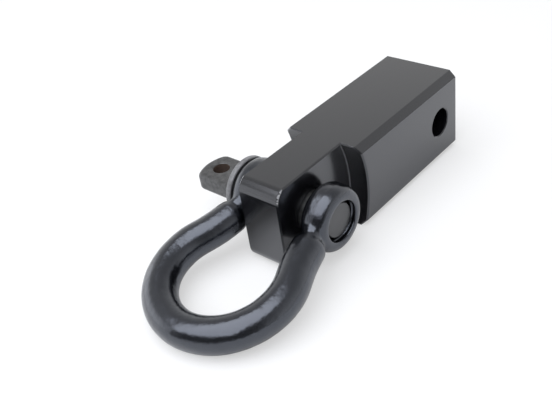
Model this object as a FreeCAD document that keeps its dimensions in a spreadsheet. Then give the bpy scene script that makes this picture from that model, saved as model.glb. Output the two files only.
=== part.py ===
import FreeCAD, Part
import math
import os
import Sketcher

# Hitch receiver shackle, in millimetres.
# The origin is the centre of the cross hole that takes the hitch pin. +X runs along the shank
# towards the bow, +Y along the hitch-pin hole, +Z up. The floor is half a shank below the origin.

SIZES = {
    # solid block: square shank, waisted neck, rounded nose
    "shank_side": "50.8",
    "shank_chamfer": "3.8",
    "tail_length": "18.5",
    "tail_break": "1.0",
    "hitch_hole_radius": "8.5",
    "shoulder_reach": "73.0",
    "shoulder_radius": "66.0",
    "shoulder_break": "0.8",
    "neck_thickness": "26.1",
    "neck_break": "0.8",
    "neck_root_radius": "1.0",
    "pin_setback": "32.5",
    "nose_overhang": "25.2",
    "nose_rise": "13.4",
    "nose_radius": "17.5",
    "pin_hole_radius": "11.45",
    "hole_break": "0.5",
    # forged bow: round bar, two ears
    "bar_radius": "9.45",
    "leg_outset": "0.05",
    "leg_straight": "12.0",
    "leg_start": "22.5",
    "end_length": "6.0",
    "flare_radius": "74.0",
    "crown_radius": "34.85",
    "jaw_width": "31.8",
    "ear_thickness": "15.5",
    "ear_radius": "18.4",
    "ear_rim_radius": "5.25",
    "ear_bore_radius": "11.18",
    "mouth_break": "0.4",
    "side_shift": "1.2",
    # cross pin: turned shank and collar, flat tab with an eye
    "pin_radius": "11.1",
    "pin_end_radius": "9.25",
    "pin_recess": "2.5",
    "collar_gap": "0.1",
    "collar_thickness": "3.4",
    "collar_radius": "17.0",
    "collar_round": "0.8",
    "tab_length": "30.0",
    "tab_thickness": "10.0",
    "tab_width": "24.0",
    "tab_end_radius": "20.0",
    "tab_corner_radius": "5.0",
    "tab_round": "2.2",
    "tab_root_radius": "2.0",
    "eye_radius": "4.75",
    "eye_reach": "18.6",
    "eye_round": "0.8",
}

# Lengths that follow from the sizes above, as formulas.
PIN_REACH = "(Sizes.shoulder_reach + Sizes.pin_setback)"
NOSE_REACH = "(Sizes.shoulder_reach + Sizes.pin_setback + Sizes.nose_overhang)"
NOSE_FLAT = "(Sizes.shank_side - 2 * Sizes.nose_rise)"
LEG_SPACING = "(Sizes.jaw_width / 2 + Sizes.bar_radius + Sizes.leg_outset)"
EAR_MIDDLE = "(Sizes.jaw_width + Sizes.ear_thickness) / 2"
EAR_FACE = "(Sizes.jaw_width / 2 + Sizes.ear_thickness)"

# The neck between ear and bar, as five upright ovals: place along the leg, shift of the middle
# away from the ear's own, width and height, each as a part of a named size.
NECK_OVALS = (
    ("inside", "0.66 * Sizes.ear_radius", "0", "0.90 * Sizes.ear_thickness", "1.30 * Sizes.ear_radius"),
    ("rim", "0.80 * Sizes.ear_radius", "0.02 * Sizes.ear_thickness", "0.90 * Sizes.ear_thickness",
     "1.17 * Sizes.ear_radius"),
    ("edge", "0.93 * Sizes.ear_radius", "0.055 * Sizes.ear_thickness", "0.87 * Sizes.ear_thickness",
     "1.03 * Sizes.ear_radius"),
    ("waist", "0.89 * Sizes.leg_start", "0.155 * Sizes.ear_thickness", "0.98 * Sizes.ear_thickness",
     "1.84 * Sizes.bar_radius"),
    ("hidden", "1.10 * Sizes.leg_start", "0.15 * Sizes.ear_thickness", "0.84 * Sizes.ear_thickness",
     "1.45 * Sizes.bar_radius"),
)

ORIGIN = (-1, 1)
ACROSS, UPRIGHT = -1, -2
START, END, CENTRE = 1, 2, 3

doc = FreeCAD.newDocument("hitch_receiver_shackle")


def make_sheet():
    """Every size of the object, one row each, under its own name."""
    sheet = doc.addObject("Spreadsheet::Sheet", "Sizes")
    for row, (name, number) in enumerate(SIZES.items(), start=1):
        sheet.set("A%d" % row, name)
        sheet.set("B%d" % row, number)
        sheet.setAlias("B%d" % row, name)
    doc.recompute()
    return sheet


def size(name):
    """The number behind a named size."""
    return float(SIZES[name])


def value(formula):
    """The number behind a formula of named sizes."""
    return float(doc.Sizes.evalExpression(formula.replace("Sizes.", "")))


def make_body(name):
    """An empty body whose label is the name of its piece."""
    body = doc.addObject("PartDesign::Body", name)
    body.Label = name
    return body


def plane(body, role):
    """One of the body's own origin planes."""
    return [item for item in body.Origin.OriginFeatures if item.Role == role][0]


def sketch_on(body, name, role):
    """A sketch lying on one of the body's origin planes."""
    sketch = body.newObject("Sketcher::SketchObject", name)
    sketch.AttachmentSupport = [(plane(body, role), "")]
    sketch.MapMode = "FlatFace"
    return sketch


def line(sketch, first, last):
    """A straight edge; gives its number in the sketch."""
    start, end = FreeCAD.Vector(*first, 0), FreeCAD.Vector(*last, 0)
    return sketch.addGeometry(Part.LineSegment(start, end), False)


def arc(sketch, centre, radius, first, last):
    """An arc counter-clockwise between two angles in degrees; gives its number in the sketch."""
    circle = Part.Circle(FreeCAD.Vector(*centre, 0), FreeCAD.Vector(0, 0, 1), radius)
    span = Part.ArcOfCircle(circle, math.radians(first), math.radians(last))
    return sketch.addGeometry(span, False)


def rule(sketch, kind, *places):
    """A geometric constraint without a size."""
    return sketch.addConstraint(Sketcher.Constraint(kind, *places))


def bind(sketch, kind, *places, value, formula):
    """A constraint whose size follows a formula of the named sizes."""
    index = sketch.addConstraint(Sketcher.Constraint(kind, *places, value))
    sketch.setExpression("Constraints[%d]" % index, formula)
    return index


def circle_at(sketch, reach, radius, reach_formula, radius_formula):
    """A circle centred on the sketch's horizontal axis."""
    circle = Part.Circle(FreeCAD.Vector(reach, 0, 0), FreeCAD.Vector(0, 0, 1), radius)
    index = sketch.addGeometry(circle, False)
    bind(sketch, "Radius", index, value=radius, formula=radius_formula)
    if reach_formula is None:
        rule(sketch, "Coincident", index, CENTRE, *ORIGIN)
    else:
        rule(sketch, "PointOnObject", index, CENTRE, ACROSS)
        bind(sketch, "DistanceX", *ORIGIN, index, CENTRE, value=reach, formula=reach_formula)
    return index


def feature(body, kind, name, sketch, **settings):
    """A feature made from a sketch, which is hidden inside it."""
    item = body.newObject("PartDesign::" + kind, name)
    item.Profile = sketch
    for key, setting in settings.items():
        setattr(item, key, setting)
    sketch.Visibility = False
    doc.recompute()
    return item


def dress(body, kind, name, base, keep, formula):
    """A fillet or chamfer on the edges of the base that the test keeps."""
    edges = ["Edge%d" % (number + 1) for number, edge in enumerate(base.Shape.Edges) if keep(edge)]
    item = body.newObject("PartDesign::" + kind, name)
    item.Base = (base, edges)
    item.setExpression("Radius" if kind == "Fillet" else "Size", formula)
    doc.recompute()
    return item


def mirror(body, name, originals, role):
    """The features again, on the other side of an origin plane."""
    item = body.newObject("PartDesign::Mirrored", name)
    item.Originals = originals
    item.MirrorPlane = (plane(body, role), [""])
    body.Tip = item
    doc.recompute()
    return item


def near(first, last, slack=0.01):
    """Whether two numbers agree within a hundredth of a millimetre."""
    return abs(first - last) < slack


def flat_at(edge, axis, place):
    """Whether all of an edge lies at one distance either side of an origin plane."""
    box = edge.BoundBox
    low, high = getattr(box, axis + "Min"), getattr(box, axis + "Max")
    return near(low, high) and near(abs(low), place)


def is_circle(edge, radius):
    """Whether an edge is an arc or circle of one radius."""
    return not edge.Degenerated and hasattr(edge.Curve, "Radius") and near(edge.Curve.Radius, radius)


def block_profile(body):
    """Side view of the block: flat faces, a plain tail and a nose rounded above and below."""
    half = size("shank_side") / 2
    tail, nose = size("tail_length"), value(NOSE_REACH)
    flat, radius = value(NOSE_FLAT) / 2, size("nose_radius")
    rise = math.degrees(math.asin((half - flat) / radius))
    top = nose - radius + radius * math.cos(math.radians(rise))
    sketch = sketch_on(body, "side_view", "XZ_Plane")
    bottom = line(sketch, (-tail, -half), (top, -half))
    lower = arc(sketch, (nose - radius, -flat), radius, -rise, 0)
    front = line(sketch, (nose, -flat), (nose, flat))
    upper = arc(sketch, (nose - radius, flat), radius, 0, rise)
    roof = line(sketch, (top, half), (-tail, half))
    back = line(sketch, (-tail, half), (-tail, -half))
    rule(sketch, "Coincident", bottom, END, lower, START)
    rule(sketch, "Tangent", lower, END, front, START)
    rule(sketch, "Tangent", front, END, upper, START)
    rule(sketch, "Coincident", upper, END, roof, START)
    rule(sketch, "Coincident", roof, END, back, START)
    rule(sketch, "Coincident", back, END, bottom, START)
    rule(sketch, "Horizontal", bottom)
    rule(sketch, "Horizontal", roof)
    rule(sketch, "Equal", lower, upper)
    rule(sketch, "Symmetric", front, START, front, END, ACROSS)
    rule(sketch, "Symmetric", back, START, back, END, ACROSS)
    bind(sketch, "Distance", front, value=2 * flat, formula=NOSE_FLAT)
    bind(sketch, "Distance", back, value=2 * half, formula="Sizes.shank_side")
    bind(sketch, "Radius", upper, value=radius, formula="Sizes.nose_radius")
    bind(sketch, "DistanceX", *ORIGIN, front, START, value=nose, formula=NOSE_REACH)
    bind(sketch, "DistanceX", back, END, *ORIGIN, value=tail, formula="Sizes.tail_length")
    return sketch


def cheek_profile(body):
    """Side view of what is milled away beside the neck, ending in the hollow shoulder."""
    high = 0.7 * size("shank_side")
    far, radius = value(NOSE_REACH) + 5, size("shoulder_radius")
    centre = size("shoulder_reach") + radius
    lean = math.degrees(math.asin(high / radius))
    step = centre - radius * math.cos(math.radians(lean))
    sketch = sketch_on(body, "cheek_view", "XZ_Plane")
    sketch.setExpression("AttachmentOffset.Base.z", "-Sizes.neck_thickness / 2")
    shoulder = arc(sketch, (centre, 0), radius, 180 - lean, 180 + lean)
    bottom = line(sketch, (step, -high), (far, -high))
    end = line(sketch, (far, -high), (far, high))
    top = line(sketch, (far, high), (step, high))
    rule(sketch, "Coincident", shoulder, END, bottom, START)
    rule(sketch, "Coincident", bottom, END, end, START)
    rule(sketch, "Coincident", end, END, top, START)
    rule(sketch, "Coincident", top, END, shoulder, START)
    rule(sketch, "Horizontal", bottom)
    rule(sketch, "Horizontal", top)
    rule(sketch, "PointOnObject", shoulder, CENTRE, ACROSS)
    rule(sketch, "Symmetric", end, START, end, END, ACROSS)
    bind(sketch, "Distance", end, value=2 * high, formula="1.4 * Sizes.shank_side")
    bind(sketch, "Radius", shoulder, value=radius, formula="Sizes.shoulder_radius")
    bind(sketch, "DistanceX", *ORIGIN, end, START, value=far, formula=NOSE_REACH + " + 5")
    bind(sketch, "DistanceX", *ORIGIN, shoulder, CENTRE, value=centre,
         formula="Sizes.shoulder_reach + Sizes.shoulder_radius")
    return sketch


def make_block():
    """The solid block that slides into the receiver and carries the bow on its neck."""
    body = make_body("receiver_block")
    half, cheek = size("shank_side") / 2, size("neck_thickness") / 2
    bar = feature(body, "Pad", "square_bar", block_profile(body), SideType="Symmetric")
    bar.setExpression("Length", "Sizes.shank_side")
    doc.recompute()
    bevelled = dress(body, "Chamfer", "long_edges", bar,
                     lambda edge: flat_at(edge, "Y", half) and flat_at(edge, "Z", half),
                     "Sizes.shank_chamfer")
    broken = dress(body, "Chamfer", "tail_edges", bevelled,
                   lambda edge: flat_at(edge, "X", size("tail_length")), "Sizes.tail_break")
    cheek_cut = feature(body, "Pocket", "cheek", cheek_profile(body), Type="ThroughAll")
    neck = mirror(body, "other_cheek", [cheek_cut], "XZ_Plane")
    slim = dress(body, "Chamfer", "neck_edges", neck,
                 lambda edge: flat_at(edge, "Y", cheek) and not is_circle(edge, size("shoulder_radius")),
                 "Sizes.neck_break")
    lipped = dress(body, "Chamfer", "shoulder_edges", slim,
                   lambda edge: is_shoulder_lip(edge, slim.Shape), "Sizes.shoulder_break")
    dress(body, "Fillet", "neck_root", lipped,
          lambda edge: flat_at(edge, "Y", cheek) and is_circle(edge, size("shoulder_radius")),
          "Sizes.neck_root_radius")
    hitch = sketch_on(body, "hitch_hole_view", "XZ_Plane")
    circle_at(hitch, 0, size("hitch_hole_radius"), None, "Sizes.hitch_hole_radius")
    feature(body, "Pocket", "hitch_hole", hitch, Type="ThroughAll", SideType="Symmetric")
    hinge = sketch_on(body, "pin_hole_view", "XZ_Plane")
    circle_at(hinge, value(PIN_REACH), size("pin_hole_radius"), PIN_REACH, "Sizes.pin_hole_radius")
    drilled = feature(body, "Pocket", "pin_hole", hinge, Type="ThroughAll", SideType="Symmetric")
    dress(body, "Chamfer", "hole_edges", drilled, is_hole_rim, "Sizes.hole_break")
    return body


def is_shoulder_lip(edge, shape):
    """Whether an edge is one of the long outer edges of a hollow shoulder face."""
    outside = max(abs(edge.BoundBox.YMin), abs(edge.BoundBox.YMax)) > size("neck_thickness") / 2 + 1
    if not outside or edge.Length < size("neck_break") * 4:
        return False
    hollow = [face for face in shape.Faces
              if hasattr(face.Surface, "Radius") and near(face.Surface.Radius, size("shoulder_radius"))]
    return any(edge.isSame(other) for face in hollow for other in face.Edges)


def is_hole_rim(edge):
    """Whether an edge is the rim of the hitch-pin hole or of the neck's hole."""
    outer = is_circle(edge, size("hitch_hole_radius")) and flat_at(edge, "Y", size("shank_side") / 2)
    inner = is_circle(edge, size("pin_hole_radius")) and flat_at(edge, "Y", size("neck_thickness") / 2)
    return outer or inner


def bar_path(body):
    """Centre line of the bow: two flaring legs tangent to a round crown."""
    straight, flare = size("leg_straight"), size("flare_radius")
    spacing, crown = value(LEG_SPACING), size("crown_radius")
    reach = math.sqrt((flare + crown) ** 2 - (spacing + flare) ** 2)
    meet = math.degrees(math.asin(reach / (flare + crown)))
    begin = math.degrees(math.asin((size("leg_start") - straight) / flare))
    sketch = sketch_on(body, "centre_line", "XY_Plane")
    left = arc(sketch, (straight, spacing + flare), flare, 270 + begin, 270 + meet)
    round_end = arc(sketch, (straight + reach, 0), crown, 270 - meet, 90 + meet)
    right = arc(sketch, (straight, -spacing - flare), flare, 90 - meet, 90 - begin)
    rule(sketch, "Tangent", left, END, round_end, END)
    rule(sketch, "Tangent", right, START, round_end, START)
    rule(sketch, "Symmetric", left, CENTRE, right, CENTRE, ACROSS)
    rule(sketch, "Symmetric", left, START, right, END, ACROSS)
    bind(sketch, "Radius", left, value=flare, formula="Sizes.flare_radius")
    bind(sketch, "Radius", round_end, value=crown, formula="Sizes.crown_radius")
    bind(sketch, "DistanceX", *ORIGIN, left, CENTRE, value=straight, formula="Sizes.leg_straight")
    bind(sketch, "DistanceY", *ORIGIN, left, CENTRE, value=spacing + flare,
         formula=LEG_SPACING + " + Sizes.flare_radius")
    bind(sketch, "DistanceX", *ORIGIN, left, START, value=size("leg_start"),
         formula="Sizes.leg_start")
    return sketch


def start_formulas():
    """Where the bar's round end sits: sideways distance and lean of the centre line there."""
    run = "(Sizes.leg_start - Sizes.leg_straight)"
    aside = LEG_SPACING + " + Sizes.flare_radius - sqrt(Sizes.flare_radius ^ 2 - %s ^ 2)" % run
    return aside, "asin(%s / Sizes.flare_radius)" % run


def bar_section(body):
    """Round section of the bar, square to its centre line where the leg starts."""
    aside, lean = start_formulas()
    sketch = sketch_on(body, "bar_round", "YZ_Plane")
    sketch.AttachmentOffset = FreeCAD.Placement(FreeCAD.Vector(0, 0, 0),
                                                FreeCAD.Rotation(FreeCAD.Vector(0, 1, 0), 1))
    sketch.setExpression("AttachmentOffset.Rotation.Angle", lean)
    sketch.setExpression("AttachmentOffset.Base.z", "Sizes.leg_start")
    sketch.setExpression("AttachmentOffset.Base.x", aside)
    circle_at(sketch, 0, size("bar_radius"), None, "Sizes.bar_radius")
    return sketch


def neck_section(body, name, station, shift, width, height):
    """Upright oval section of the neck between ear and bar."""
    middle = value(EAR_MIDDLE + " + " + shift)
    half_width, half_height = value(width) / 2, value(height) / 2
    sketch = sketch_on(body, "neck_" + name, "YZ_Plane")
    sketch.setExpression("AttachmentOffset.Base.z", station)
    oval = sketch.addGeometry(Part.Ellipse(FreeCAD.Vector(middle, half_height, 0),
                                           FreeCAD.Vector(middle - half_width, 0, 0),
                                           FreeCAD.Vector(middle, 0, 0)), False)
    sketch.exposeInternalGeometry(oval)
    long_axis, short_axis = oval + 1, oval + 2
    rule(sketch, "PointOnObject", oval, CENTRE, ACROSS)
    rule(sketch, "Vertical", long_axis)
    bind(sketch, "DistanceX", *ORIGIN, oval, CENTRE, value=middle, formula=EAR_MIDDLE + " + " + shift)
    bind(sketch, "Distance", long_axis, value=2 * half_height, formula=height)
    bind(sketch, "Distance", short_axis, value=2 * half_width, formula=width)
    return sketch


def round_end(body):
    """The blunt rounded end that the bar shows where it leaves the ear's neck."""
    aside, lean = start_formulas()
    dome = body.newObject("PartDesign::AdditiveEllipsoid", "bar_end")
    dome.Placement = FreeCAD.Placement(FreeCAD.Vector(0, 0, 0),
                                       FreeCAD.Rotation(FreeCAD.Vector(0, 0, 1), 1))
    dome.setExpression("Radius1", "Sizes.bar_radius")
    dome.setExpression("Radius2", "Sizes.end_length")
    dome.setExpression("Radius3", "Sizes.bar_radius")
    dome.setExpression("Placement.Base.x", "Sizes.leg_start")
    dome.setExpression("Placement.Base.y", aside)
    dome.setExpression("Placement.Rotation.Angle", lean)
    doc.recompute()
    return dome


def ear_profile(body):
    """Half section of one ear: a flat boss with a well rounded rim."""
    low, high = size("jaw_width") / 2, size("jaw_width") / 2 + size("ear_thickness")
    radius, rim = size("ear_radius"), size("ear_rim_radius")
    sketch = sketch_on(body, "ear_section", "XY_Plane")
    inside = line(sketch, (0, low), (radius - rim, low))
    first = arc(sketch, (radius - rim, low + rim), rim, 270, 360)
    edge = line(sketch, (radius, low + rim), (radius, high - rim))
    second = arc(sketch, (radius - rim, high - rim), rim, 0, 90)
    outside = line(sketch, (radius - rim, high), (0, high))
    axis = line(sketch, (0, high), (0, low))
    rule(sketch, "Tangent", inside, END, first, START)
    rule(sketch, "Tangent", first, END, edge, START)
    rule(sketch, "Tangent", edge, END, second, START)
    rule(sketch, "Tangent", second, END, outside, START)
    rule(sketch, "Coincident", outside, END, axis, START)
    rule(sketch, "Coincident", axis, END, inside, START)
    rule(sketch, "Horizontal", inside)
    rule(sketch, "Horizontal", outside)
    rule(sketch, "Vertical", axis)
    rule(sketch, "PointOnObject", axis, START, UPRIGHT)
    rule(sketch, "Equal", first, second)
    bind(sketch, "Radius", first, value=rim, formula="Sizes.ear_rim_radius")
    bind(sketch, "DistanceX", *ORIGIN, edge, START, value=radius, formula="Sizes.ear_radius")
    bind(sketch, "DistanceY", *ORIGIN, inside, START, value=low, formula="Sizes.jaw_width / 2")
    bind(sketch, "DistanceY", *ORIGIN, outside, END, value=high,
         formula=EAR_FACE)
    return sketch


def bore_profile(body):
    """Half section of one ear's bore, with a small bevel at both mouths."""
    sketch = sketch_on(body, "bore_view", "XY_Plane")
    wide, narrow = size("ear_bore_radius") + size("mouth_break"), size("ear_bore_radius")
    inner, outer, bevel = size("jaw_width") / 2, value(EAR_FACE), size("mouth_break")
    points = [(0, inner - 1), (wide, inner - 1), (wide, inner), (narrow, inner + bevel),
              (narrow, outer - bevel), (wide, outer), (wide, outer + 1), (0, outer + 1)]
    lines = [line(sketch, first, last) for first, last in zip(points, points[1:] + points[:1])]
    for first, last in zip(lines, lines[1:] + lines[:1]):
        rule(sketch, "Coincident", first, END, last, START)
    for flat in (lines[0], lines[6]):
        rule(sketch, "Horizontal", flat)
    for upright in (lines[1], lines[3], lines[5]):
        rule(sketch, "Vertical", upright)
    rule(sketch, "PointOnObject", lines[7], END, UPRIGHT)
    rule(sketch, "PointOnObject", lines[7], START, UPRIGHT)
    width = "Sizes.ear_bore_radius"
    for spot, place, formula in ((lines[1], wide, width + " + Sizes.mouth_break"), (lines[3], narrow, width),
                                 (lines[5], wide, width + " + Sizes.mouth_break")):
        bind(sketch, "DistanceX", *ORIGIN, spot, START, value=place, formula=formula)
    for spot, place, formula in (
            (lines[0], inner - 1, "Sizes.jaw_width / 2 - 1"),
            (lines[2], inner, "Sizes.jaw_width / 2"),
            (lines[3], inner + bevel, "Sizes.jaw_width / 2 + Sizes.mouth_break"),
            (lines[4], outer - bevel, EAR_FACE + " - Sizes.mouth_break"),
            (lines[5], outer, EAR_FACE),
            (lines[6], outer + 1, EAR_FACE + " + 1")):
        bind(sketch, "DistanceY", *ORIGIN, spot, START, value=place, formula=formula)
    return sketch


def make_bow():
    """The forged bow: a round bar bent to a pear shape, necked into two bored ears."""
    body = make_body("shackle_bow")
    path = bar_path(body)
    bar = feature(body, "AdditivePipe", "bent_bar", bar_section(body))
    bar.Spine = (path, [])
    path.Visibility = False
    doc.recompute()
    end = round_end(body)
    ear = feature(body, "Revolution", "ear", ear_profile(body))
    ear.ReferenceAxis = (ear.Profile[0], ["V_Axis"])
    ear.Angle = 360
    doc.recompute()
    ovals = [neck_section(body, *oval) for oval in NECK_OVALS]
    neck = feature(body, "AdditiveLoft", "ear_neck", ovals[0])
    neck.Sections = [(oval, [""]) for oval in ovals[1:]]
    doc.recompute()
    bore = feature(body, "Groove", "bore", bore_profile(body))
    bore.ReferenceAxis = (bore.Profile[0], ["V_Axis"])
    bore.Angle = 360
    doc.recompute()
    mirror(body, "other_ear", [end, ear, neck, bore], "XZ_Plane")
    return body


def pin_profile(body):
    """Half section of the turned pin: bevelled end, straight shank, collar."""
    ear_face = value(EAR_FACE)
    tip, seat = ear_face - size("pin_recess"), -ear_face - size("collar_gap")
    radius, flat, collar = size("pin_radius"), size("pin_end_radius"), size("collar_radius")
    back = seat - size("collar_thickness")
    corners = [(0, tip), (flat, tip), (radius, tip - radius + flat), (radius, seat), (collar, seat),
               (collar, back), (0, back)]
    sketch = sketch_on(body, "turned_section", "XY_Plane")
    edges = [line(sketch, corners[index], corners[(index + 1) % 7]) for index in range(7)]
    for index in range(7):
        rule(sketch, "Coincident", edges[index], END, edges[(index + 1) % 7], START)
    for index in (0, 3, 5):
        rule(sketch, "Horizontal", edges[index])
    for index in (2, 4, 6):
        rule(sketch, "Vertical", edges[index])
    rule(sketch, "PointOnObject", edges[0], START, -2)
    bind(sketch, "DistanceY", *ORIGIN, edges[0], START, value=tip,
         formula=EAR_FACE + " - Sizes.pin_recess")
    bind(sketch, "DistanceX", *ORIGIN, edges[0], END, value=flat, formula="Sizes.pin_end_radius")
    bind(sketch, "DistanceX", *ORIGIN, edges[2], START, value=radius, formula="Sizes.pin_radius")
    bind(sketch, "DistanceY", edges[1], END, edges[1], START, value=radius - flat,
         formula="Sizes.pin_radius - Sizes.pin_end_radius")
    bind(sketch, "DistanceY", edges[3], START, *ORIGIN, value=-seat,
         formula=EAR_FACE + " + Sizes.collar_gap")
    bind(sketch, "DistanceX", *ORIGIN, edges[4], START, value=collar,
         formula="Sizes.collar_radius")
    bind(sketch, "Distance", edges[4], value=seat - back, formula="Sizes.collar_thickness")
    return sketch


def tab_profile(body):
    """Plan of the flat tab: straight sides, rounded corners and a bowed end."""
    ear_face = value(EAR_FACE)
    root = -ear_face - size("collar_gap") - size("collar_thickness") / 2
    tip = -ear_face - size("collar_gap") - size("collar_thickness") - size("tab_length")
    half, corner, end = size("tab_width") / 2, size("tab_corner_radius"), size("tab_end_radius")
    hub = tip + end
    reach = math.sqrt((end - corner) ** 2 - (half - corner) ** 2)
    lean = math.degrees(math.atan2(half - corner, reach))
    sketch = sketch_on(body, "tab_view", "XY_Plane")
    top = line(sketch, (-half, root), (half, root))
    right = line(sketch, (half, root), (half, hub - reach))
    first = arc(sketch, (half - corner, hub - reach), corner, 270 + lean, 360)
    bowed = arc(sketch, (0, hub), end, 270 - lean, 270 + lean)
    second = arc(sketch, (corner - half, hub - reach), corner, 180, 270 - lean)
    left = line(sketch, (-half, hub - reach), (-half, root))
    rule(sketch, "Coincident", top, END, right, START)
    rule(sketch, "Tangent", right, END, first, END)
    rule(sketch, "Tangent", first, START, bowed, END)
    rule(sketch, "Tangent", bowed, START, second, END)
    rule(sketch, "Tangent", second, START, left, START)
    rule(sketch, "Coincident", left, END, top, START)
    rule(sketch, "Vertical", right)
    rule(sketch, "Equal", first, second)
    rule(sketch, "Symmetric", top, START, top, END, -2)
    rule(sketch, "PointOnObject", bowed, CENTRE, -2)
    bind(sketch, "Distance", top, value=2 * half, formula="Sizes.tab_width")
    bind(sketch, "Radius", first, value=corner, formula="Sizes.tab_corner_radius")
    bind(sketch, "Radius", bowed, value=end, formula="Sizes.tab_end_radius")
    bind(sketch, "DistanceY", top, START, *ORIGIN, value=-root,
         formula=EAR_FACE + " + Sizes.collar_gap + Sizes.collar_thickness / 2")
    bind(sketch, "DistanceY", bowed, CENTRE, *ORIGIN, value=-hub,
         formula=EAR_FACE + " + Sizes.collar_gap + Sizes.collar_thickness + Sizes.tab_length"
                 " - Sizes.tab_end_radius")
    return sketch


def make_pin():
    """The cross pin: a turned shank with a collar and a flat tab to turn it by."""
    body = make_body("shackle_pin")
    ear_face = value(EAR_FACE)
    back = ear_face + size("collar_gap") + size("collar_thickness")
    half = size("tab_thickness") / 2
    turned = feature(body, "Revolution", "turned_pin", pin_profile(body))
    turned.ReferenceAxis = (turned.Profile[0], ["V_Axis"])
    turned.Angle = 360
    doc.recompute()
    tab = feature(body, "Pad", "tab", tab_profile(body), SideType="Symmetric")
    tab.setExpression("Length", "Sizes.tab_thickness")
    doc.recompute()
    eye = sketch_on(body, "eye_view", "XY_Plane")
    hole = eye.addGeometry(Part.Circle(FreeCAD.Vector(0, -back - size("eye_reach"), 0),
                                       FreeCAD.Vector(0, 0, 1), size("eye_radius")), False)
    rule(eye, "PointOnObject", hole, CENTRE, -2)
    bind(eye, "Radius", hole, value=size("eye_radius"), formula="Sizes.eye_radius")
    bind(eye, "DistanceY", hole, CENTRE, *ORIGIN, value=back + size("eye_reach"),
         formula=EAR_FACE + " + Sizes.collar_gap + Sizes.collar_thickness + Sizes.eye_reach")
    pierced = feature(body, "Pocket", "eye", eye, Type="ThroughAll", SideType="Symmetric")
    soft = dress(body, "Fillet", "tab_edges", pierced,
                 lambda edge: flat_at(edge, "Z", half) and edge.BoundBox.YMin < -back - 0.1
                 and not is_circle(edge, size("eye_radius")), "Sizes.tab_round")
    rooted = dress(body, "Fillet", "tab_root", soft,
                   lambda edge: flat_at(edge, "Y", back) and not is_circle(edge, size("collar_radius")),
                   "Sizes.tab_root_radius")
    eyed = dress(body, "Fillet", "eye_edges", rooted,
                 lambda edge: is_circle(edge, size("eye_radius")) and flat_at(edge, "Z", half),
                 "Sizes.eye_round")
    dress(body, "Fillet", "collar_edges", eyed,
          lambda edge: is_circle(edge, size("collar_radius")), "Sizes.collar_round")
    return body


def place(bow, pin):
    """The bow lies tilted until its crown touches the floor; the pin's tab stays level."""
    for body in (bow, pin):
        body.setExpression("Placement.Base.x", PIN_REACH)
        body.setExpression("Placement.Base.y", "Sizes.side_shift")
    bow.Placement = FreeCAD.Placement(FreeCAD.Vector(value(PIN_REACH), size("side_shift"), 0),
                                      FreeCAD.Rotation(FreeCAD.Vector(0, 1, 0), 10))
    crown = ("(Sizes.leg_straight + Sizes.crown_radius + sqrt((Sizes.flare_radius + Sizes.crown_radius) ^ 2"
             " - (%s + Sizes.flare_radius) ^ 2))" % LEG_SPACING)
    bow.setExpression("Placement.Rotation.Angle",
                      "asin((Sizes.shank_side / 2 - Sizes.bar_radius) / %s)" % crown)
    doc.recompute()


def write(bodies):
    """Stops at anything broken, then writes one file for each piece."""
    for item in doc.Objects:
        if "Invalid" in item.State or "Error" in item.State:
            raise RuntimeError("%s is %s" % (item.Name, item.State))
    os.makedirs("parts", exist_ok=True)
    for body in bodies:
        if body.Shape.isNull() or not body.Shape.isValid():
            raise RuntimeError("%s has no sound shape" % body.Label)
        body.Shape.exportStep("parts/%s.step" % body.Label)


make_sheet()
block = make_block()
bow = make_bow()
pin = make_pin()
place(bow, pin)
write([block, bow, pin])
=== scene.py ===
import math

import bmesh
import bpy
from mathutils import Matrix, Vector


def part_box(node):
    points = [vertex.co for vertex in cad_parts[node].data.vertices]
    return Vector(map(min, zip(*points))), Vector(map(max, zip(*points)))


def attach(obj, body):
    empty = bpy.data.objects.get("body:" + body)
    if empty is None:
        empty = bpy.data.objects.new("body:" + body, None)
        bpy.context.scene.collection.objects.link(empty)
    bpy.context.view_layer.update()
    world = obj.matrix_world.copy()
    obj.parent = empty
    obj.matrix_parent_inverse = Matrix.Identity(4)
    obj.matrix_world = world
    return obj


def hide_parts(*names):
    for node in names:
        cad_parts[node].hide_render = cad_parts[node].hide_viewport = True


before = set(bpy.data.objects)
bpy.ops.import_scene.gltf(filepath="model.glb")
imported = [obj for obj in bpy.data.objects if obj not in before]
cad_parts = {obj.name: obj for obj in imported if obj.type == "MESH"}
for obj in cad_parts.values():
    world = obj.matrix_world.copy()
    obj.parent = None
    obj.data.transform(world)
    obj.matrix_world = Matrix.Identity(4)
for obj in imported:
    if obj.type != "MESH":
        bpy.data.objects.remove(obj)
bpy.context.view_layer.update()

bl_info = {
    "name": "Hitch receiver shackle",
    "version": (1, 0, 0),
    "blender": (4, 5, 0),
    "location": "View3D > Sidebar > Shackle",
    "description": "Finishes of the block, forged bow and screw pin of a hitch receiver shackle",
    "category": "Object",
}

MM = 0.001
PIN_LOW, PIN_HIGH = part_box("shackle_pin")
BLOCK_LOW, BLOCK_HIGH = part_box("receiver_block")

# The pin's axis runs along Y. The shackle's own middle plane lies a little beside the block's.
PIN_X = (PIN_LOW.x + PIN_HIGH.x) / 2
SHACKLE_Y = 1.2 * MM
FLOOR_Z = BLOCK_LOW.z

# Real sizes of the ears and of the pin, in millimetres from the shackle's middle plane.
EAR_INNER, EAR_OUTER = 15.9, 31.4
BORE_RADIUS = 11.2
PIN_RADIUS = 11.1
PIN_END = 28.9
COLLAR_INNER, COLLAR_OUTER = -31.5, -34.9
COLLAR_RIM = 16.0

# The bores: their walls lie within this radius, between the bevels of their two mouths.
BORE_WALL = 11.7
BORE_FIRST, BORE_LAST = EAR_INNER + 0.5, EAR_OUTER - 0.7

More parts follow.
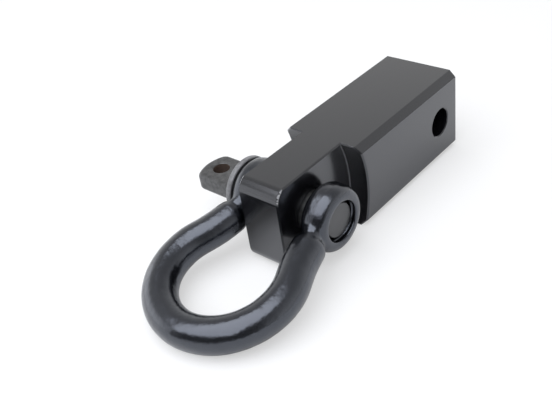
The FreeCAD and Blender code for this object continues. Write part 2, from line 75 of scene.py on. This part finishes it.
# The thread, in millimetres: the pin's ridge on its thinner core, and the groove in the tapped ear,
# which fades out near both mouths.
THREAD_START = 14.6
THREAD_PITCH = 25.4 / 9
THREAD_FADE = 1.2
RIDGE_START, RIDGE_END = THREAD_START + 1.0, PIN_END - 1.6
RIDGE_HALF_BASE, RIDGE_HALF_CREST = 1.05, 0.2
CORE_RADIUS = 9.5
GROOVE_DEPTH = 1.1
GROOVE_START, GROOVE_END = EAR_INNER + 0.8, EAR_OUTER - 0.9
STEPS_PER_TURN = 64

# The turned end that carries the thread, in millimetres: let into the shank just under its surface,
# with a run-out down to the core and a bevelled tip.
END_LET_IN, END_UNDER, END_RUNOUT = 0.4, 0.02, 1.4
TIP_BEVEL, TIP_STEP = 0.3, 0.25
ON_AXIS = 0.001
ROUND_STEPS = 96

# The middle of the tab's eye, a radius just outside its wall, and how little an upright face tilts.
EYE_Y, EYE_REACH = -52.3 * MM, 5.0 * MM
EYE_TILT = 0.4

# The nose's front: flat this far from the middle plane, then rounded with this radius. The solid's
# wider rounding starts lower and ends at the same edge. Only vertices in the front's skin are moved.
NOSE_FLAT, NOSE_RADIUS = 17.7 * MM, 7.87 * MM
WIDE_FLAT, WIDE_RADIUS = 12.0 * MM, 17.5 * MM
NOSE_SKIN = 1.5 * MM
NOSE_SLICES = 8

# Light grey faces. On the top edge of each shoulder they are bare steel where the coat has rubbed
# off,
# # with a painted highlight on them. On the nose's upper corners they are a painted highlight
# (glint).
# # Each has its ranges along the block, to the side and up, in millimetres, and then how much its
# # faces look up (the lip) or to the side (the corner).
LIP_WEAR_AND_GLINT = ((74, 83), (13.8, 21.3), (25.1, 26), (0.25, 0.97))
CORNER_GLINT = ((126, 140), (12.5, 13.04), (18.5, 24.5), (0.35, 0.9))

# Softening of the forging's creases: passes, the ring about the pin's axis from its inner to its
# outer radius, and how far beyond the middle plane, in millimetres.
CREASES = ((6, 16.5, 25, 0), (30, 16.8, 24.5, 25.5))
SKIN_PASSES = 3

# The hammering starts this far from the pin's axis and is full this much further out.
HAMMER_START, HAMMER_FADE = 13, 4

# Vertices nearer than this are one. The angles tell a flat seam from a real edge.
MERGE_DISTANCE = 0.002 * MM
FLAT_ANGLE = math.radians(0.5)
EDGE_ANGLE = math.radians(24)
SPLIT_ANGLE = math.radians(35)

# The studio: its middle and floor, and each lamp's size and direction from there, in metres.
STUDIO_MIDDLE = (0.1, 0, 0)
FLOOR_RADIUS, FLOOR_GAP = 1.1, 0.02 * MM
LAMP_DISTANCE = 1.3
LAMP_TINT = (0.96, 0.985, 1.04)
SOFTBOX_SIZE, SOFTBOX_WAY = (1.7, 1.7), (0.42, -0.015, 0.906)
CARD_SIZE, CARD_WAY = (1.6, 0.7), (0.43, -0.88, 0.21)
DARK_WAY = (0.93, 0.30, 0.2)

# Where the photograph was taken from, in metres, with the lens and the camera's three directions.
CAMERA_PLACE = (0.3437, 0.2337, 0.2398)
CAMERA_RIGHT = (-0.64332, 0.75373, -0.13429)
CAMERA_DOWN = (0.51448, 0.29571, -0.80490)
CAMERA_FORWARD = (-0.56697, -0.58689, -0.57802)
CAMERA_LENS = 50.66


class BlockProps(bpy.types.PropertyGroup):
    coat: bpy.props.StringProperty(
        name="Coat", description="Colour of the block's black coat, as sRGB hex", default="#0f0f12")
    # The light grey of the edges: rubbed steel plus a painted highlight on the shoulders' lips, and
    # a painted highlight on the nose's corners.
    wear_and_glint: bpy.props.StringProperty(
        name="Worn edge", description="Colour of the steel on the worn edges, as sRGB hex",
        default="#b2b2b5")
    edge: bpy.props.FloatProperty(
        name="Edge", description="Width of the soft break on every edge, in millimetres",
        default=0.45, min=0.05, max=0.6)
    grain: bpy.props.FloatProperty(
        name="Grain", description="Width of the fine grain in the coat, in millimetres",
        default=0.5, min=0.1, max=3.0)


class BowProps(bpy.types.PropertyGroup):
    paint: bpy.props.StringProperty(
        name="Paint", description="Colour of the bow's paint, as sRGB hex", default="#08090c")
    voxel: bpy.props.FloatProperty(
        name="Skin detail", description="Width of one face of the forged skin, in millimetres",
        default=0.56, min=0.4, max=2.0)
    lump: bpy.props.FloatProperty(
        name="Hammering", description="Width of the forging's shallow lumps, in millimetres",
        default=14.0, min=2.0, max=40.0)
    depth: bpy.props.FloatProperty(
        name="Hammering depth", description="How deep the lumps go, in millimetres",
        default=0.35, min=0.0, max=1.0)


class PinProps(bpy.types.PropertyGroup):
    paint: bpy.props.StringProperty(
        name="Paint", description="Colour of the pin's thin coat, as sRGB hex", default="#262627")
    end: bpy.props.StringProperty(
        name="Turned end", description="Colour of the pin's end face, as sRGB hex",
        default="#373739")
    # The collar rim's light grey is a painted highlight over the black coat.
    rim: bpy.props.StringProperty(
        name="Collar rim", description="Colour of the collar's rubbed rim, as sRGB hex",
        default="#9a9a9c")
    eye: bpy.props.StringProperty(
        name="Eye", description="Colour of the bare scale inside the eye, as sRGB hex",
        default="#5f4c41")


class StudioProps(bpy.types.PropertyGroup):
    room: bpy.props.FloatProperty(
        name="Room light", description="Strength of the light from the walls, floor white being 1",
        default=0.82, min=0.0, max=2.0)
    shade: bpy.props.FloatProperty(
        name="Dark side", description="Share of the room light left behind the camera",
        default=0.13, min=0.0, max=1.0)
    softbox: bpy.props.FloatProperty(
        name="Softbox", description="Radiance of the large light overhead, floor white being 1",
        default=2.4, min=0.0, max=20.0)
    window: bpy.props.FloatProperty(
        name="Side card",
        description="Radiance of the card at the camera's left, floor white being 1",
        default=0.65, min=0.0, max=20.0)
    floor: bpy.props.StringProperty(
        name="Floor", description="Colour of the floor in its reflections, as sRGB hex",
        default="#e6e6e6")
    glow: bpy.props.FloatProperty(
        name="Floor white", description="Share of plain white in what the camera sees of the floor",
        default=0.5, min=0.0, max=0.9)


def linear(colour):
    """An sRGB hex colour as linear red, green, blue and alpha."""
    parts = [int(colour[place:place + 2], 16) / 255 for place in (1, 3, 5)]
    return [part / 12.92 if part <= 0.04045 else ((part + 0.055) / 1.055) ** 2.4
            for part in parts] + [1.0]


def add_node(tree, kind, values=(), links=(), **settings):
    """Adds a node, with its socket values, its links from other nodes' sockets and its settings."""
    node = tree.nodes.new(kind)
    for name, setting in settings.items():
        setattr(node, name, setting)
    for socket, setting in dict(values).items():
        node.inputs[socket].default_value = setting
    for socket, source in dict(links).items():
        tree.links.new(source, node.inputs[socket])
    return node


def new_material(name):
    """An empty node material and its tree."""
    material = bpy.data.materials.new(name)
    material.use_nodes = True
    material.node_tree.nodes.clear()
    return material, material.node_tree


def noise(tree, width, detail, **values):
    """A noise on the object's coordinates, with patches this many millimetres wide."""
    place = add_node(tree, "ShaderNodeTexCoord").outputs["Object"]
    values = {"Scale": 1 / (width * MM), "Detail": detail, **values}
    return add_node(tree, "ShaderNodeTexNoise", values, {"Vector": place}).outputs["Fac"]


def spread(tree, value, start=(0, 1), end=(0, 1)):
    """A value carried from one range to another."""
    ranges = {"From Min": start[0], "From Max": start[1], "To Min": end[0], "To Max": end[1]}
    return add_node(tree, "ShaderNodeMapRange", ranges, {"Value": value}).outputs["Result"]


def blend(tree, share, first, second):
    """A colour between two sRGB hex colours."""
    return add_node(tree, "ShaderNodeMix", {"A": linear(first), "B": linear(second)},
                    {"Factor": share}, data_type="RGBA").outputs["Result"]


def bump(tree, height, strength, distance, **links):
    """A normal that follows this height; the distance is in millimetres."""
    return add_node(tree, "ShaderNodeBump", {"Strength": strength, "Distance": distance * MM},
                    {"Height": height, **links}).outputs["Normal"]


def surface(tree, values, links):
    """The material's shader, joined to its output."""
    shader = add_node(tree, "ShaderNodeBsdfPrincipled", values, links)
    add_node(tree, "ShaderNodeOutputMaterial", links={"Surface": shader.outputs["BSDF"]})


def satin_black_coat(props):
    """Black electro-coat over milled steel: smooth and thin, so flat faces mirror softly."""
    material, tree = new_material("satin_black_coat")
    dull = spread(tree, noise(tree, 18, 3.0), end=(0.17, 0.22))
    grain = bump(tree, noise(tree, props.grain, 2.0), 0.08, 0.02)
    surface(tree, {"Base Color": linear(props.coat), "Specular Tint": linear("#eff2fb"),
                   "IOR": 1.65, "Coat Weight": 0.8, "Coat Roughness": 0.17, "Coat IOR": 1.6},
            {"Roughness": dull, "Normal": grain})
    return material


def edge_wear_and_glint(props):
    """Light grey on sharp edges: rubbed steel with a painted highlight on the shoulders' lips, and a
    painted highlight (glint) on the nose's upper corners.
    """
    material, tree = new_material("edge_wear_and_glint")
    share = spread(tree, noise(tree, 2.5, 3.0), start=(0.3, 0.55))
    surface(tree, {"Roughness": 0.4}, {"Base Color": blend(tree, share, "#55565a", props.wear_and_glint)})
    return material


def forging_paint(props):
    """Glossy black paint on a shot-blasted forging: long soft highlights with small waves."""
    material, tree = new_material("forging_paint")
    wave = noise(tree, 4.0, 3.0)
    dull = spread(tree, wave, end=(0.17, 0.27))
    skin = bump(tree, noise(tree, 0.9, 2.0), 0.5, 0.08, Normal=bump(tree, wave, 0.6, 0.3))
    surface(tree, {"Base Color": linear(props.paint), "Specular Tint": linear("#d9e2f6"),
                   "IOR": 1.8, "Coat Weight": 0.6, "Coat Roughness": 0.18, "Coat IOR": 1.6},
            {"Roughness": dull, "Normal": skin, "Coat Normal": skin})
    return material


def thin_pin_coat(props):
    """Thin black coat over a forged and turned pin: greyer and duller than the bow, and mottled."""
    material, tree = new_material("thin_pin_coat")
    blotch = noise(tree, 2.6, 5.0, Roughness=0.6)
    mottle = spread(tree, blotch, start=(0.35, 0.65))
    surface(tree, {"Roughness": 0.36, "IOR": 1.65, "Coat Weight": 0.15, "Coat Roughness": 0.25},
            {"Base Color": blend(tree, mottle, props.paint, "#4f4f4f"),
             "Normal": bump(tree, blotch, 0.6, 0.2)})
    return material


def turned_end(props):
    """The pin's turned end face: the same thin coat over a plain cut face, evenly grey."""
    material, tree = new_material("turned_end")
    surface(tree, {"Base Color": linear(props.end), "Roughness": 0.34, "IOR": 1.65,
                   "Coat Weight": 0.3, "Coat Roughness": 0.25},
            {"Normal": bump(tree, noise(tree, 0.6, 2.0), 0.3, 0.03)})
    return material


def collar_painted_highlight(props):
    """The collar's outer rim painted light grey in patches: a painted highlight over the black coat.
    """
    material, tree = new_material("collar_painted_highlight")
    surface(tree, {"Roughness": 0.35, "IOR": 1.6},
            {"Base Color": blend(tree, noise(tree, 2.0, 4.0), "#4c4c4e", props.rim)})
    return material


def bare_eye_scale(props):
    """Bare forging scale with a breath of rust, where the paint didn't reach inside the eye."""
    material, tree = new_material("bare_eye_scale")
    surface(tree, {"Roughness": 0.7},
            {"Base Color": blend(tree, noise(tree, 1.5, 4.0), "#2b221e", props.eye)})
    return material


def merged_copy(node):
    """A bmesh of a CAD node's own surface, with its loose triangles merged."""
    shape = bmesh.new()
    shape.from_mesh(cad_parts[node].data)
    bmesh.ops.remove_doubles(shape, verts=shape.verts, dist=MERGE_DISTANCE)
    return shape


def make_object(name, shape, materials):
    """An object at the origin that holds the finished shape."""
    mesh = bpy.data.meshes.new(name)
    shape.to_mesh(mesh)
    shape.free()
    for material in materials:
        mesh.materials.append(material)
    mesh.polygons.foreach_set("use_smooth", [True] * len(mesh.polygons))
    piece = bpy.data.objects.new(name, mesh)
    bpy.context.scene.collection.objects.link(piece)
    return piece


def evaluated(piece):
    """A bmesh of the piece with its modifiers worked in; the piece itself is removed."""
    bpy.context.view_layer.update()
    shape = bmesh.new()
    shape.from_object(piece, bpy.context.evaluated_depsgraph_get())
    mesh = piece.data
    bpy.data.objects.remove(piece)
    bpy.data.meshes.remove(mesh)
    return shape


def smooth(shape, verts, passes):
    """Evens out the places of these vertices a number of times."""
    for _ in range(passes):
        bmesh.ops.smooth_vert(shape, verts=verts, factor=0.5, use_axis_x=True, use_axis_y=True,
                              use_axis_z=True)


def from_pin_axis(point):
    """Distance of a point from the pin's axis and along it, in millimetres."""
    return math.hypot(point.x - PIN_X, point.z) / MM, (point.y - SHACKLE_Y) / MM


def add_helix(shape, base, crest, first, turns, half_base, half_crest):
    """Adds a thread's ridge about the pin's axis: one closed strip that fades at both ends."""
    ridge = bmesh.new()
    corners = [(base, -half_base), (crest, -half_crest), (crest, half_crest), (base, half_base)]
    steps = int(turns * STEPS_PER_TURN)
    fade = STEPS_PER_TURN / 5
    loop = [ridge.verts.new((PIN_X, 0, 0)) for _ in corners]
    edges = [ridge.edges.new((loop[index], loop[(index + 1) % 4])) for index in range(4)]
    for step in range(steps + 1):
        if step:
            grown = bmesh.ops.extrude_edge_only(ridge, edges=edges)["geom"]
            loop = [item for item in grown if isinstance(item, bmesh.types.BMVert)]
            edges = [item for item in grown if isinstance(item, bmesh.types.BMEdge)
                     and all(vert in loop for vert in item.verts)]
        share = min(1, (step + 1) / fade, (steps - step + 1) / fade)
        angle = 2 * math.pi * step / STEPS_PER_TURN
        for vert, (radius, along) in zip(loop, corners):
            reach = (base + (radius - base) * share) * MM
            rise = first + along + THREAD_PITCH * step / STEPS_PER_TURN
            vert.co = Vector((PIN_X + reach * math.sin(angle), SHACKLE_Y + rise * MM,
                              reach * math.cos(angle)))
    bmesh.ops.holes_fill(ridge, edges=[edge for edge in ridge.edges if edge.is_boundary])
    bmesh.ops.recalc_face_normals(ridge, faces=ridge.faces)
    mesh = bpy.data.meshes.new("ridge")
    ridge.to_mesh(mesh)
    ridge.free()
    shape.from_mesh(mesh)
    bpy.data.meshes.remove(mesh)


def threaded_end(shape):
    """The pin's threaded end: a turned core with a bevelled tip, and the thread's ridge on it."""
    root, radius = THREAD_START - END_LET_IN, PIN_RADIUS - END_UNDER
    profile = [(0, root), (radius, root), (radius, THREAD_START),
               (CORE_RADIUS, THREAD_START + END_RUNOUT), (CORE_RADIUS, PIN_END - TIP_BEVEL),
               (CORE_RADIUS - TIP_STEP, PIN_END), (0, PIN_END)]
    verts = [shape.verts.new((PIN_X + radius * MM, SHACKLE_Y + along * MM, 0))
             for radius, along in profile]
    edges = [shape.edges.new(pair) for pair in zip(verts, verts[1:])]
    bmesh.ops.spin(shape, geom=verts + edges, cent=(PIN_X, 0, 0), axis=(0, 1, 0), dvec=(0, 0, 0),
                   angle=2 * math.pi, steps=ROUND_STEPS, use_merge=True, use_duplicate=False)
    axis_verts = [vert for vert in shape.verts if from_pin_axis(vert.co)[0] < ON_AXIS
                  and from_pin_axis(vert.co)[1] > THREAD_START - 1]
    bmesh.ops.remove_doubles(shape, verts=axis_verts, dist=0.01 * MM)
    bmesh.ops.recalc_face_normals(shape, faces=shape.faces)
    add_helix(shape, base=CORE_RADIUS - 0.1, crest=PIN_RADIUS - 0.08, first=RIDGE_START,
              turns=(RIDGE_END - RIDGE_START) / THREAD_PITCH, half_base=RIDGE_HALF_BASE,
              half_crest=RIDGE_HALF_CREST)


def within(values, ranges):
    """Whether each value lies inside its own range."""
    return all(low < value < high for value, (low, high) in zip(values, ranges))


class SHACKLE_OT_block(bpy.types.Operator):
    """Breaks the milled block's edges and gives it its black coat"""
    bl_idname = "shackle.block"
    bl_label = "Coat the block"

    def execute(self, context):
        props = context.scene.shackle_block
        shape = merged_copy("receiver_block")
        self.round_nose(shape)
        bmesh.ops.dissolve_limit(shape, angle_limit=FLAT_ANGLE, verts=shape.verts,
                                 edges=shape.edges, use_dissolve_boundaries=False, delimit=set())
        sharp = [edge for edge in shape.edges
                 if edge.is_manifold and edge.calc_face_angle() > EDGE_ANGLE]
        bmesh.ops.bevel(shape, geom=sharp, offset=props.edge * MM, offset_type="OFFSET",
                        affect="EDGES", segments=2, profile=0.5, material=-1, clamp_overlap=True)
        for face in shape.faces:
            # Material 1 goes on the shoulders' lips (rubbed steel and painted highlight) and the
            # nose's upper corners (painted highlight).
            face.material_index = int(self.is_wear_or_glint(face))
        block = make_object("coated_block", shape,
                            [satin_black_coat(props), edge_wear_and_glint(props)])
        self.flatten(block)
        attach(block, "block")
        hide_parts("receiver_block")
        return {"FINISHED"}

    @staticmethod
    def round_nose(shape):
        """Keeps the nose's front flat up to a tighter rounding above and below."""
        for step in range(NOSE_SLICES):
            height = NOSE_FLAT + (BLOCK_HIGH.z - NOSE_FLAT) * step / NOSE_SLICES
            for side in (-1, 1):
                bmesh.ops.bisect_plane(shape, geom=shape.verts[:] + shape.edges[:] + shape.faces[:],
                                       dist=0.001 * MM, plane_co=(0, 0, side * height),
                                       plane_no=(0, 0, 1))
        for vert in shape.verts:
            height = abs(vert.co.z)
            if height > WIDE_FLAT:
                wide = WIDE_RADIUS - math.sqrt(WIDE_RADIUS ** 2 - (height - WIDE_FLAT) ** 2)
                over = max(0, height - NOSE_FLAT)
                tight = NOSE_RADIUS - math.sqrt(NOSE_RADIUS ** 2 - over ** 2)
                if vert.co.x > BLOCK_HIGH.x - wide - NOSE_SKIN:
                    vert.co.x += wide - tight

    @staticmethod
    def is_wear_or_glint(face):
        """Whether a face is on the broken top edge of a shoulder or on the nose's upper corners,
        which are painted light grey as wear and painted highlight.
        """
        middle = face.calc_center_median() / MM
        place = (middle.x, abs(middle.y), middle.z)
        return (within((*place, abs(face.normal.z)), LIP_WEAR_AND_GLINT)
                or within((*place, abs(face.normal.y)), CORNER_GLINT))

    @staticmethod
    def flatten(block):
        """Keeps the milled faces flat in the light, so that only the broken edges shade softly."""
        weighted = block.modifiers.new("flat_faces", "WEIGHTED_NORMAL")
        weighted.keep_sharp = True
        weighted.weight = 100


class SHACKLE_OT_bow(bpy.types.Operator):
    """Gives the bow its forged skin, softened creases, tapped ear and paint"""
    bl_idname = "shackle.bow"
    bl_label = "Forge the bow"

    def execute(self, context):
        props = context.scene.shackle_bow
        paint = [forging_paint(props)]
        skin = make_object("bow_skin", merged_copy("shackle_bow"), [])
        remesh = skin.modifiers.new("skin", "REMESH")
        remesh.mode = "VOXEL"
        remesh.voxel_size = props.voxel * MM
        shape = evaluated(skin)
        smooth(shape, shape.verts, SKIN_PASSES)
        for passes, inner, outer, beyond in CREASES:
            necks = [vert for vert in shape.verts if inner < from_pin_axis(vert.co)[0] < outer
                     and abs(from_pin_axis(vert.co)[1]) > beyond]
            smooth(shape, necks, passes)
        self.true_bores(shape)
        bow = make_object("forged_bow", shape, paint)
        self.hammer(bow, props)
        bow = make_object("forged_bow", evaluated(bow), paint)
        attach(bow, "bow")
        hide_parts("shackle_bow")
        return {"FINISHED"}

    @staticmethod
    def groove_depth(vert, along):
        """Depth of the tapped ear's groove, which follows the pin's ridge and fades out."""
        turn = math.atan2(vert.co.x - PIN_X, vert.co.z) / (2 * math.pi)
        phase = (along - RIDGE_START) / THREAD_PITCH - turn
        fade = min(1, (along - GROOVE_START) / THREAD_FADE, (GROOVE_END - along) / THREAD_FADE)
        return GROOVE_DEPTH * max(0, fade) * (1 + math.cos(2 * math.pi * phase)) / 2

    def true_bores(self, shape):
        """Sets the bores' walls back to their exact radius and taps the threaded ear."""
        for vert in shape.verts:
            radius, along = from_pin_axis(vert.co)
            if radius < BORE_WALL and BORE_FIRST < abs(along) < BORE_LAST:
                stretch = (BORE_RADIUS + self.groove_depth(vert, along)) / radius
                vert.co.x = PIN_X + (vert.co.x - PIN_X) * stretch
                vert.co.z = vert.co.z * stretch

    @staticmethod
    def hammer(bow, props):
        """Shallow lumps pressed inwards all over the bar and ears, none near the bores."""
        texture = bpy.data.textures.new("hammering", "CLOUDS")
        texture.noise_scale = props.lump * MM
        group = bow.vertex_groups.new(name="skin")
        for vert in bow.data.vertices:
            share = (from_pin_axis(vert.co)[0] - HAMMER_START) / HAMMER_FADE
            if share > 0:
                group.add([vert.index], min(1, share), "REPLACE")
        displace = bow.modifiers.new("hammering", "DISPLACE")
        displace.texture = texture
        displace.texture_coords = "LOCAL"
        displace.vertex_group = "skin"
        displace.strength = props.depth * MM
        displace.mid_level = 1.0


class SHACKLE_OT_pin(bpy.types.Operator):
    """Gives the pin its thread, coat and the bare inside of its eye"""
    bl_idname = "shackle.pin"
    bl_label = "Thread the pin"

    def execute(self, context):
        props = context.scene.shackle_pin
        shape = merged_copy("shackle_pin")
        cut = bmesh.ops.bisect_plane(
            shape, geom=shape.verts[:] + shape.edges[:] + shape.faces[:], dist=0,
            plane_co=(0, SHACKLE_Y + THREAD_START * MM, 0), plane_no=(0, 1, 0), clear_outer=True)
        rim = [item for item in cut["geom_cut"] if isinstance(item, bmesh.types.BMEdge)]
        bmesh.ops.holes_fill(shape, edges=rim)
        for face in shape.faces:
            # The eye's wall gets the bare scale. The collar's rim gets the painted highlight.
            face.material_index = 1 if self.in_eye(face) else 2 if self.on_rim(face) else 0
        threaded_end(shape)
        for face in shape.faces:
            along = from_pin_axis(face.calc_center_median())[1]
            if along > PIN_END - TIP_BEVEL - 0.01 and face.normal.y > 0.5:
                face.material_index = 3
        pin = make_object("threaded_pin", shape, [thin_pin_coat(props), bare_eye_scale(props),
                                                   collar_painted_highlight(props), turned_end(props)])
        sharp = pin.modifiers.new("edges", "EDGE_SPLIT")
        sharp.split_angle = SPLIT_ANGLE
        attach(pin, "pin")
        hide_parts("shackle_pin")
        return {"FINISHED"}

    @staticmethod
    def on_rim(face):
        """Whether a face is on the collar's outer rim."""
        radius, along = from_pin_axis(face.calc_center_median())
        return radius > COLLAR_RIM and COLLAR_OUTER - 0.1 < along < COLLAR_INNER + 0.1

    @staticmethod
    def in_eye(face):
        """Whether a face is on the upright wall of the tab's eye."""
        middle = face.calc_center_median()
        return (abs(face.normal.z) < EYE_TILT
                and math.hypot(middle.x - PIN_X, middle.y - EYE_Y) < EYE_REACH)


class SHACKLE_OT_studio(bpy.types.Operator):
    """Sets up the floor, the lights and the photograph's camera"""
    bl_idname = "shackle.studio"
    bl_label = "Set up the studio"

    def execute(self, context):
        props = context.scene.shackle_studio
        self.lay_floor(props)
        self.light(context, props)
        self.aim_camera(context)
        context.scene.view_settings.view_transform = "Standard"
        return {"FINISHED"}

    @staticmethod
    def lay_floor(props):
        """A wide matt floor just under the block, white to the camera and clear from below."""
        material, tree = new_material("matt_studio_floor")
        path = add_node(tree, "ShaderNodeLightPath")
        seen = path.outputs["Is Camera Ray"]
        share = add_node(tree, "ShaderNodeMath", {1: props.glow}, {0: seen}, operation="MULTIPLY")
        colour = blend(tree, seen, props.floor, "#ffffff")
        matt = add_node(tree, "ShaderNodeBsdfDiffuse", links={"Color": colour})
        white = add_node(tree, "ShaderNodeEmission", {"Color": linear("#ffffff"), "Strength": 1.0})
        both = add_node(tree, "ShaderNodeMixShader",
                        links={0: share.outputs["Value"], 1: matt.outputs["BSDF"],
                               2: white.outputs["Emission"]})
        under = add_node(tree, "ShaderNodeNewGeometry").outputs["Backfacing"]
        clear = add_node(tree, "ShaderNodeBsdfTransparent").outputs["BSDF"]
        floor = add_node(tree, "ShaderNodeMixShader",
                         links={0: under, 1: both.outputs["Shader"], 2: clear})
        add_node(tree, "ShaderNodeOutputMaterial", links={"Surface": floor.outputs["Shader"]})
        shape = bmesh.new()
        bmesh.ops.create_circle(shape, cap_ends=True, radius=FLOOR_RADIUS, segments=ROUND_STEPS)
        bmesh.ops.translate(shape, verts=shape.verts,
                            vec=(STUDIO_MIDDLE[0], STUDIO_MIDDLE[1], FLOOR_Z - FLOOR_GAP))
        make_object("studio_floor", shape, [material])

    @staticmethod
    def light(context, props):
        """A room that is dark behind the camera, a softbox overhead and a card at the left."""
        world = bpy.data.worlds.new("studio_room")
        context.scene.world = world
        world.use_nodes = True
        tree = world.node_tree
        tree.nodes.clear()
        direction = add_node(tree, "ShaderNodeTexCoord").outputs["Generated"]
        toward = add_node(tree, "ShaderNodeVectorMath", {1: DARK_WAY}, {0: direction},
                          operation="DOT_PRODUCT")
        side = spread(tree, toward.outputs["Value"], start=(0.25, 0.8), end=(1.0, props.shade))
        up = add_node(tree, "ShaderNodeSeparateXYZ", links={"Vector": direction})
        height = spread(tree, up.outputs["Z"], start=(0.2, 0.8), end=(props.room, props.room / 2))
        strength = add_node(tree, "ShaderNodeMath", links={0: side, 1: height},
                            operation="MULTIPLY")
        path = add_node(tree, "ShaderNodeLightPath")
        room = add_node(tree, "ShaderNodeBackground", {"Color": (1, 1, 1, 1)},
                        {"Strength": strength.outputs["Value"]})
        backdrop = add_node(tree, "ShaderNodeBackground", {"Color": (1, 1, 1, 1), "Strength": 1.0})
        both = add_node(tree, "ShaderNodeMixShader",
                        links={0: path.outputs["Is Camera Ray"], 1: room.outputs["Background"],
                               2: backdrop.outputs["Background"]})
        add_node(tree, "ShaderNodeOutputWorld", links={"Surface": both.outputs["Shader"]})
        aim = Vector(STUDIO_MIDDLE)
        for name, size, way, radiance in (("softbox", SOFTBOX_SIZE, SOFTBOX_WAY, props.softbox),
                                          ("side_card", CARD_SIZE, CARD_WAY, props.window)):
            lamp = bpy.data.lights.new(name, "AREA")
            lamp.shape = "RECTANGLE"
            lamp.size, lamp.size_y = size
            lamp.energy = radiance * math.pi * size[0] * size[1]
            lamp.color = LAMP_TINT
            light = bpy.data.objects.new(name, lamp)
            light.visible_camera = False
            place = aim + Vector(way).normalized() * LAMP_DISTANCE
            turn = (aim - place).to_track_quat("-Z", "Y").to_matrix().to_4x4()
            light.matrix_world = Matrix.Translation(place) @ turn
            context.scene.collection.objects.link(light)

    @staticmethod
    def aim_camera(context):
        """The photograph's camera, with its slight roll."""
        lens = bpy.data.cameras.new("photo_camera")
        lens.lens = CAMERA_LENS
        lens.sensor_width = 36
        lens.sensor_fit = "HORIZONTAL"
        lens.clip_start = 0.01
        camera = bpy.data.objects.new("photo_camera", lens)
        axes = Matrix((CAMERA_RIGHT, -Vector(CAMERA_DOWN), -Vector(CAMERA_FORWARD))).transposed()
        camera.matrix_world = Matrix.Translation(CAMERA_PLACE) @ axes.to_4x4()
        context.scene.collection.objects.link(camera)
        context.scene.camera = camera


class SHACKLE_PT_panel(bpy.types.Panel):
    """Lists the object's pieces and the studio"""
    bl_idname = "SHACKLE_PT_panel"
    bl_label = "Hitch receiver shackle"
    bl_space_type = "VIEW_3D"
    bl_region_type = "UI"
    bl_category = "Shackle"

    def draw(self, context):
        scene = context.scene
        pieces = {"shackle.block": scene.shackle_block, "shackle.bow": scene.shackle_bow,
                  "shackle.pin": scene.shackle_pin, "shackle.studio": scene.shackle_studio}
        for operator, props in pieces.items():
            box = self.layout.box()
            for name in props.bl_rna.properties.keys():
                if name not in {"rna_type", "name"}:
                    box.prop(props, name)
            box.operator(operator)


GROUPS = {"shackle_block": BlockProps, "shackle_bow": BowProps, "shackle_pin": PinProps,
          "shackle_studio": StudioProps}
CLASSES = (*GROUPS.values(), SHACKLE_OT_block, SHACKLE_OT_bow, SHACKLE_OT_pin, SHACKLE_OT_studio,
           SHACKLE_PT_panel)


def register():
    for cls in CLASSES:
        bpy.utils.register_class(cls)
    for name, group in GROUPS.items():
        setattr(bpy.types.Scene, name, bpy.props.PointerProperty(type=group))


def unregister():
    for name in GROUPS:
        delattr(bpy.types.Scene, name)
    for cls in reversed(CLASSES):
        bpy.utils.unregister_class(cls)


def main():
    """Builds the whole scene."""
    register()
    bpy.ops.shackle.block()
    bpy.ops.shackle.bow()
    bpy.ops.shackle.pin()
    bpy.ops.shackle.studio()


if __name__ == "__main__":
    main()
